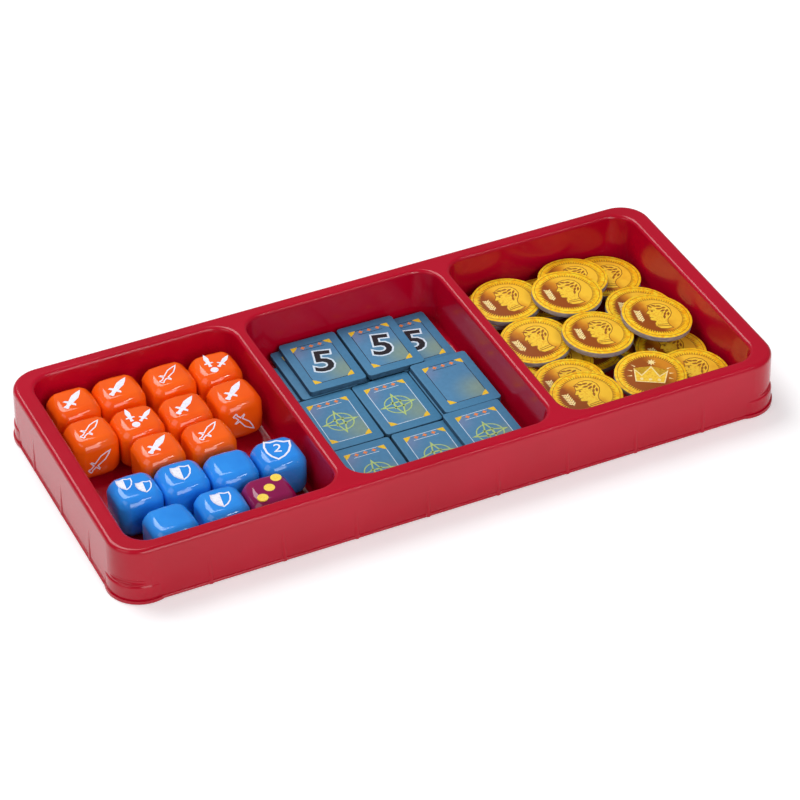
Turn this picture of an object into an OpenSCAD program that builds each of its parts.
// Component tray of a board game: a thermoformed three-pocket insert with
// its dice, card tiles and card coins lying loose in the pockets.
// Origin: middle of the footprint, on the table. +X along the tray, +Z up.

/* [Sheet] */
// Thickness of the formed plastic sheet
sheet = 1; // [0.8:0.1:1.3]
// Height of the deck above the table
tray_height = 21; // [20:0.5:30]
// Plan radius of the tray's outer corners
corner_radius = 11; // [9:0.5:14]
// Rounding from the deck into the skirt
rim_round = 1.6; // [1.5:0.1:2.5]
// How far the skirt leans out between deck and table
skirt_lean = 0.4; // [0.2:0.1:1.5]
// How far the bead at the skirt's foot stands out
bead_reach = 0.5; // [0.3:0.1:0.9]
// Height of the bead at the skirt's foot
bead_height = 1.2; // [0.9:0.1:1.8]

/* [Pockets] */
// Deck between a pocket and each end of the tray
end_rim = 6.8; // [5.5:0.1:10]
// Deck between a pocket and each long side of the tray
side_rim = 5.5; // [5.2:0.1:10]
// Deck between two pockets
divider = 4.7; // [4.4:0.1:9]
// Rounding from the deck into a pocket
mouth_round = 1.5; // [1.4:0.1:2]
// How far a pocket's wall leans in between deck and floor
pocket_lean = 1.5; // [0.8:0.1:2]
// Plan radius of a pocket's corners at the deck
pocket_radius = 8; // [6:0.5:10]
// Rounding from a pocket's wall into its floor
floor_round = 1.8; // [1.6:0.1:2.4]
// Free length of a pocket's floor beside four dice
length_play = 6.3; // [5:0.1:12]
// Free width of a pocket's floor beside five dice
width_play = 12.8; // [11:0.1:18]

/* [Skirt ribs] */
// Ribs on each long side of the skirt
side_ribs = 8; // [4:1:9]
// Ribs on each end of the skirt
end_ribs = 3; // [1:1:3]
// Distance between neighbouring ribs
rib_pitch = 25.9; // [20:0.1:26]
// Radius of a rib
rib_radius = 1.2; // [0.8:0.1:1.6]
// How far a rib stands out at the foot of the skirt
rib_reach = 0.45; // [0.2:0.05:0.6]

/* [Corner grips] */
// Height of the groove across each corner
grip_height = 8.2; // [8:0.1:10]
// Radius of that groove
grip_radius = 1.2; // [0.9:0.1:1.6]
// Depth of that groove at the corner's middle
grip_depth = 0.5; // [0.3:0.1:0.7]
// How far the corner below the groove swells outwards
grip_swell = 0.4; // [0.3:0.1:1.2]

/* [Dice] */
// Edge length of a die
die_size = 16; // [14:0.5:18]
// Rounding of a die's edges
die_edge = 3; // [1.5:0.1:3.5]
// Diameter of the ball that trims a die's corners
die_ball = 21.4; // [21:0.1:24]

/* [Tiles] */
// Width of a tile
tile_width = 21.2; // [18:0.1:22]
// Length of a tile
tile_length = 29.6; // [26:0.1:30.8]
// Thickness of a tile
tile_thickness = 2.1; // [1.4:0.1:2.4]
// Corner radius of a tile
tile_corner = 1.2; // [0.5:0.1:3]

/* [Coins] */
// Diameter of a coin
coin_diameter = 25.2; // [22:0.1:26]
// Thickness of a coin
coin_thickness = 2; // [1.4:0.1:2.4]

/* [Hidden] */
$fn = 72;
// Air left between a loose piece and what carries it
rest_gap = 0.05;
// Air left between two coins of the pile
pile_gap = 0.3;
// Air left between the tiles or coins and a pocket's walls
wall_gap = 1.4;
// Points round a coin's rim at which the pile is tested
pile_points = 24;
pockets = 3;
RED = [0.78, 0.05, 0.14];
dice_across = 4;
dice_deep = 5;

pocket_floor = [dice_across * die_size + length_play, dice_deep * die_size + width_play];
pocket_mouth = [pocket_floor[0] + 2 * pocket_lean, pocket_floor[1] + 2 * pocket_lean];
pocket_pitch = pocket_mouth[0] + divider;
deck = [pockets * pocket_mouth[0] + (pockets - 1) * divider + 2 * end_rim,
        pocket_mouth[1] + 2 * side_rim];
function pocket_x(n) = (n - (pockets - 1) / 2) * pocket_pitch;

skirt_angle = atan(skirt_lean / (tray_height - rim_round));
wall_angle = atan(pocket_lean / (tray_height - mouth_round));
foot_radius = corner_radius + skirt_lean;

// Half angle over which the groove runs across a corner
grip_span = 24;
// Height that a rib climbs before it dies into the skirt
rib_rise = tray_height - rim_round - 2;
// How deep the rib's crown has sunk below the skirt's face up there
rib_sink = 0.15;

// Dice, by pocket cell: [column, row, step along x, step along y, turn],
// the steps as shares of the play left in the pocket
dice_orange = [
    [0, 4, -0.20, 0.30, 1], [1, 4, -0.14, 0.30, 0], [2, 4, 0.19, 0.23, 2], [3, 4, 0.29, 0.12, 0],
    [0, 3, -0.29, 0.17, 0], [1, 3, -0.24, 0.08, 1], [2, 3, -0.05, 0.03, -1], [3, 3, 0.25, 0.05, 2],
    [1, 2, -0.10, 0.05, -1], [2, 2, 0.22, 0.00, 1]];
dice_blue = [
    [0, 1, 0.08, -0.02, 1], [1, 1, 0.14, -0.06, 0], [2, 1, 0.24, -0.22, -1], [3, 1, 0.35, -0.27, 1],
    [0, 0, 0.80, -0.34, 2], [1, 0, 1.17, -0.26, -1]];
dice_purple = [[2, 0, 1.24, -0.35, -1]];

// Tiles, lowest first: [share of the free length, share of the free width,
// turn, 1 for a tile on the pocket's floor or 0 for one higher up]
tiles = [
    [-0.88, 0.00, 90, 1], [0.88, 0.00, 90, 1], [-0.88, 0.87, 90, 1], [0.88, 0.87, 90, 1],
    [-0.88, -0.87, 90, 1], [0.88, -0.87, 90, 1], [0.04, 0.008, 0, 0],
    [-0.72, 0.993, 0, 0], [-0.59, 1.000, -1, 0], [0.907, 0.983, 0, 0], [0.37, 0.995, -1, 0],
    [-0.905, 0.003, -1, 0], [0.965, 0.003, 0, 0], [0.985, -0.005, 0, 0],
    [-0.89, -0.9925, -1, 0], [0.07, -0.9925, -1, 0], [0.907, -0.983, 0, 0]];

// Coins, lowest first: [share of the free length, share of the free width,
// direction in which the coin dips, dip in degrees]
coins = [
    [-0.14, 0.04, 0, 0], [-0.92, -0.12, 0, 0], [-0.23, 0.89, 0, 0], [-0.85, -0.16, 0, 0],
    [-1.00, -0.63, 180, 2], [0.82, -0.20, -30, 3], [1.00, -0.48, -30, 4], [-0.16, 1.00, 100, 2],
    [1.00, 1.00, -20, 4], [-1.00, 1.00, 120, 2], [-0.94, 0.95, -160, 3], [0.36, 1.00, 60, 2],
    [1.00, 0.21, -30, 5], [1.00, -0.99, -60, 5], [-1.00, -1.00, -110, 3], [-1.00, 0.16, -135, 4],
    [-0.08, -0.12, -15, 4], [-0.02, 0.67, -45, 3], [0.23, -0.94, -100, 4], [1.00, -0.14, -30, 8]];

DICE = [for (n = [1:len(dice_orange)]) str("die_orange_", n),
        for (n = [1:len(dice_blue)]) str("die_blue_", n),
        for (n = [1:len(dice_purple)]) str("die_purple_", n)];
TILES = [for (n = [1:len(tiles)]) str("tile_", n)];
COINS = [for (n = [1:len(coins)]) str("coin_", n)];
SHEET = ["tray", "dice_pocket", "tile_pocket", "tile_floor", "coin_pocket", "coin_floor"];

// ---------------------------------------------------------------- outlines

module rounded_square(size, r) {
    square([size[0] - 2 * r, size[1]], center = true);
    square([size[0], size[1] - 2 * r], center = true);
    for (x = [-1, 1], y = [-1, 1])
        translate([x * (size[0] / 2 - r), y * (size[1] / 2 - r)]) circle(r);
}

// Carries a profile, drawn at its distance from the corner's centre, once
// round a rounded rectangle: a quarter turn at each corner, a run between
module sweep_round(size, r) {
    run = [size[0] - 2 * r, size[1] - 2 * r];
    for (q = [0:3]) {
        along = run[(q + 1) % 2];
        across = run[q % 2] / 2;
        rotate(90 * q) {
            translate([across, along / 2, 0]) rotate_extrude(angle = 90) children();
            translate([across, along / 2, 0]) rotate([90, 0, 0]) linear_extrude(along) children();
        }
    }
}

// ------------------------------------------------------------------- tray

// Everything under the deck's rim and inside the skirt, drawn in by depth d
module skirt_fill(d) {
    centre = [corner_radius - rim_round, tray_height - rim_round];
    r = rim_round - d;
    touch = centre + r * [cos(skirt_angle), sin(skirt_angle)];
    foot = touch[0] + (touch[1] + sheet) * tan(skirt_angle);
    polygon([[centre[0] - 1, -sheet], [centre[0] - 1, tray_height - d],
             [centre[0], tray_height - d], touch, [foot, -sheet]]);
    translate(centre) circle(r);
}

module skirt_profile() {
    inner = corner_radius - rim_round;
    intersection() {
        difference() {
            skirt_fill(0);
            skirt_fill(sheet);
        }
        translate([inner, 0]) square([2 * rim_round + skirt_lean, tray_height]);
    }
    bead_r = bead_height / 2;
    translate([foot_radius - sheet / 2, 0]) square([sheet / 2 + bead_reach - bead_r, bead_height]);
    translate([foot_radius + bead_reach - bead_r, bead_r]) circle(bead_r);
}

mouth_centre = [pocket_radius + mouth_round, tray_height - mouth_round];
// Where the wall, run down straight, meets the height of the fillet's centre
fillet_z = sheet + floor_round;
wall_top = mouth_centre + mouth_round * [-cos(wall_angle), sin(wall_angle)];
wall_at_fillet = wall_top[0] - (wall_top[1] - fillet_z) * tan(wall_angle);
fillet_centre = [wall_at_fillet - floor_round / cos(wall_angle), fillet_z];

// Everything under the pocket's surface, drawn in by depth d
module pocket_fill(d) {
    top = mouth_centre + (mouth_round - d) * [-cos(wall_angle), sin(wall_angle)];
    low = fillet_centre + (floor_round + d) * [cos(wall_angle), -sin(wall_angle)];
    difference() {
        union() {
            polygon([[fillet_centre[0], -2 * sheet], [fillet_centre[0], sheet - d], low, top,
                     [mouth_centre[0], tray_height - d], [mouth_centre[0], -2 * sheet]]);
            translate(mouth_centre) circle(mouth_round - d);
        }
        translate(fillet_centre) circle(floor_round + d);
    }
}

module pocket_profile() {
    intersection() {
        difference() {
            pocket_fill(0);
            pocket_fill(sheet);
        }
        translate([fillet_centre[0], 0]) square([mouth_centre[0] - fillet_centre[0], tray_height]);
    }
}

// Walls of a pocket, from the rounding at the floor to the one at the mouth
module pocket_wall() {
    color(RED) sweep_round(pocket_mouth, pocket_radius) pocket_profile();
}

// Flat floor of a pocket, inside the rounding at its walls
module pocket_base() {
    shrink = pocket_radius - fillet_centre[0];
    color(RED) linear_extrude(sheet)
        rounded_square([pocket_mouth[0] - 2 * shrink, pocket_mouth[1] - 2 * shrink], fillet_centre[0]);
}

module at_pocket(n) {
    translate([pocket_x(n), 0, 0]) children();
}

module deck_plate() {
    translate([0, 0, tray_height - sheet]) linear_extrude(sheet) difference() {
        rounded_square([deck[0] - 2 * rim_round, deck[1] - 2 * rim_round], corner_radius - rim_round);
        for (n = [0:pockets - 1])
            translate([pocket_x(n), 0])
                rounded_square([pocket_mouth[0] + 2 * mouth_round, pocket_mouth[1] + 2 * mouth_round],
                               pocket_radius + mouth_round);
    }
}

// One rib on the skirt's face at x = 0: a slim round that grows downwards
module rib() {
    lean = atan((rib_reach + rib_sink) / rib_rise);
    intersection() {
        translate([foot_radius + rib_reach - rib_radius, 0, 0]) rotate([0, -lean - skirt_angle, 0])
            translate([0, 0, -rib_radius]) cylinder(r = rib_radius, h = rib_rise + rib_radius);
        translate([foot_radius - sheet / 2 - skirt_lean, -rib_radius, 0])
            cube([2 * rib_radius + skirt_lean, 2 * rib_radius, rib_rise]);
    }
}

// A row of ribs along one side whose skirt stands at the given distance
module rib_row(count, distance) {
    for (n = [0:count - 1])
        translate([distance - corner_radius, (n - (count - 1) / 2) * rib_pitch, 0]) rib();
}

module at_corners() {
    for (x = [0, 1], y = [0, 1])
        mirror([x, 0, 0]) mirror([0, y, 0])
            translate([deck[0] / 2 - corner_radius, deck[1] / 2 - corner_radius, 0]) children();
}

// The swollen foot of one corner, below the groove
module corner_foot() {
    top = grip_height - grip_radius;
    soft = bead_height;
    difference() {
        rotate(45) translate([grip_swell, 0, 0]) {
            cylinder(r = foot_radius, h = top - soft);
            translate([0, 0, top - soft]) cylinder(r = foot_radius - soft, h = soft);
            translate([0, 0, top - soft]) rotate_extrude() translate([foot_radius - soft, 0]) circle(soft);
            cylinder(r = foot_radius + bead_reach, h = bead_height);
        }
        translate([0, 0, -sheet]) {
            cylinder(r = corner_radius - sheet / 2, h = tray_height);
            translate([-tray_height, -tray_height, 0]) {
                cube([tray_height + corner_radius - sheet / 2, tray_height, tray_height]);
                cube([tray_height, tray_height + corner_radius - sheet / 2, tray_height]);
            }
        }
    }
}

// The groove that pinches the corner so that it can be gripped
module corner_groove() {
    shift = grip_depth / (1 - cos(grip_span));
    reach = corner_radius + shift * cos(grip_span);
    translate([-shift * cos(45), -shift * sin(45), grip_height])
        rotate_extrude(angle = 90) translate([reach + grip_radius, 0]) circle(grip_radius);
}

// Deck and skirt, with the pockets left open
module tray() {
    color(RED) difference() {
        union() {
            sweep_round(deck, corner_radius) skirt_profile();
            deck_plate();
            for (side = [0, 180]) {
                rotate(side) rib_row(end_ribs, deck[0] / 2);
                rotate(side + 90) rib_row(side_ribs, deck[1] / 2);
            }
            at_corners() corner_foot();
        }
        at_corners() corner_groove();
    }
}

// ------------------------------------------------------------------- dice

module die_blank() {
    intersection() {
        for_axis() linear_extrude(die_size, center = true)
            rounded_square([die_size, die_size], die_edge);
        sphere(d = die_ball);
    }
}

// The common part of one shape turned to each of the three axes
module for_axis() {
    intersection() {
        children();
        rotate([90, 0, 0]) children();
        rotate([0, 90, 0]) children();
    }
}

// A die in its cell of the first pocket
module die(place) {
    x = (place[0] - (dice_across - 1) / 2) * die_size + place[2] * length_play;
    y = (place[1] - (dice_deep - 1) / 2) * die_size + place[3] * width_play;
    translate([pocket_x(0) + x, y, sheet + rest_gap + die_size / 2]) rotate(place[4]) die_blank();
}

// ------------------------------------------------------------------ tiles

// Half of what a turned tile takes up along the direction t
function tile_reach(n, t) = tile_width / 2 * abs(cos(t - tiles[n][2]))
                            + tile_length / 2 * abs(sin(t - tiles[n][2]));
// Plan radius of the free space in a pocket's corner, low down and above it
function tile_room(n) = (tiles[n][3] == 1 ? fillet_centre[0] : wall_at_fillet) - wall_gap;
// Place in the pocket before the corner's rounding is looked at
function tile_share(n) = [for (axis = [0, 1]) tiles[n][axis]
    * (pocket_mouth[axis] / 2 - pocket_radius + tile_room(n) - tile_reach(n, 90 * axis))];
// How far a tile's corner stands in the rounded corner of the pocket
function tile_in_corner(n) = [for (axis = [0, 1]) max(0, abs(tile_share(n)[axis])
    + tile_reach(n, 90 * axis) - tile_corner - pocket_mouth[axis] / 2 + pocket_radius)];
// The tile's place, drawn back until its corner clears the rounding
function tile_at(n) = let (q = tile_in_corner(n), over = norm(q) - tile_room(n) + tile_corner)
    [for (axis = [0, 1]) tile_share(n)[axis]
        - (over > 0 ? sign(tiles[n][axis]) * q[axis] * over / norm(q) : 0)];
// Whether two tiles lie clear of each other in plan
function tiles_clear(a, b) = max([for (n = [a, b], t = [0, 90])
    abs((tile_at(b) - tile_at(a)) * [cos(t + tiles[n][2]), sin(t + tiles[n][2])])
        - tile_reach(a, t + tiles[n][2]) - tile_reach(b, t + tiles[n][2])]) > 0;
// Heights of the first n tiles, each on the highest that it lies over
function tile_heights(n) = n == 0 ? [] : let (low = tile_heights(n - 1))
    concat(low, [max(concat([sheet + rest_gap],
        [for (m = [0:1:n - 2]) if (!tiles_clear(m, n - 1)) low[m] + tile_thickness + rest_gap]))]);
tile_z = tile_heights(len(tiles));

module tile(n) {
    color([0.27, 0.53, 0.67]) translate([pocket_x(1), 0, tile_z[n]])
        translate(tile_at(n)) rotate(tiles[n][2]) linear_extrude(tile_thickness)
            rounded_square([tile_width, tile_length], tile_corner);
}

// ------------------------------------------------------------------ coins

coin_r = coin_diameter / 2;
coin_play = [pocket_floor[0] / 2 - coin_r - wall_gap, pocket_floor[1] / 2 - coin_r - wall_gap];
function coin_at(n) = [coins[n][0] * coin_play[0], coins[n][1] * coin_play[1]];
function coin_slope(n) = -tan(coins[n][3]) * [cos(coins[n][2]), sin(coins[n][2])];
// Height of a coin's underside over the point p, above that of its middle
function coin_under(n, p) = (p - coin_at(n)) * coin_slope(n);
// Points round a coin's rim, with a little spare
function coin_ring(n) = [for (t = [0:360 / pile_points:359])
    coin_at(n) + (coin_r + pile_gap / 2) * [cos(t), sin(t)]];
// Points at which two coins that overlap in plan can meet
function coin_meets(a, b) = concat([(coin_at(a) + coin_at(b)) / 2],
    [for (p = coin_ring(a)) if (norm(p - coin_at(b)) <= coin_r + pile_gap / 2) p],
    [for (p = coin_ring(b)) if (norm(p - coin_at(a)) <= coin_r + pile_gap / 2) p]);
// Heights of the first n coins, each dropped on those that it lies over
function coin_heights(n) = n == 0 ? [] : let (low = coin_heights(n - 1), c = n - 1)
    concat(low, [max(concat([sheet + rest_gap + coin_r * sin(coins[c][3])],
        [for (m = [0:1:n - 2]) if (norm(coin_at(c) - coin_at(m)) < coin_diameter + pile_gap)
            max([for (p = coin_meets(m, c)) low[m] + coin_under(m, p) - coin_under(c, p)])
                + coin_thickness / cos(coins[m][3]) + pile_gap]))]);
coin_z = coin_heights(len(coins));

module coin(n) {
    color([0.95, 0.72, 0.16]) translate([pocket_x(2), 0, coin_z[n]])
        translate(coin_at(n)) rotate([0, 0, coins[n][2]]) rotate([0, coins[n][3], 0])
            cylinder(d = coin_diameter, h = coin_thickness);
}

// ------------------------------------------------------------------ pieces

tray();
at_pocket(0) {  // dice_pocket
    pocket_wall();
    pocket_base();
}
at_pocket(1) pocket_wall();  // tile_pocket
at_pocket(1) pocket_base();  // tile_floor
at_pocket(2) pocket_wall();  // coin_pocket
at_pocket(2) pocket_base();  // coin_floor
for (n = [0:len(dice_orange) - 1]) color([1, 0.37, 0.06]) die(dice_orange[n]);
for (n = [0:len(dice_blue) - 1]) color([0.16, 0.56, 0.93]) die(dice_blue[n]);
for (n = [0:len(dice_purple) - 1]) color([0.54, 0.06, 0.35]) die(dice_purple[n]);
for (n = [0:len(tiles) - 1]) tile(n);
for (n = [0:len(coins) - 1]) coin(n);
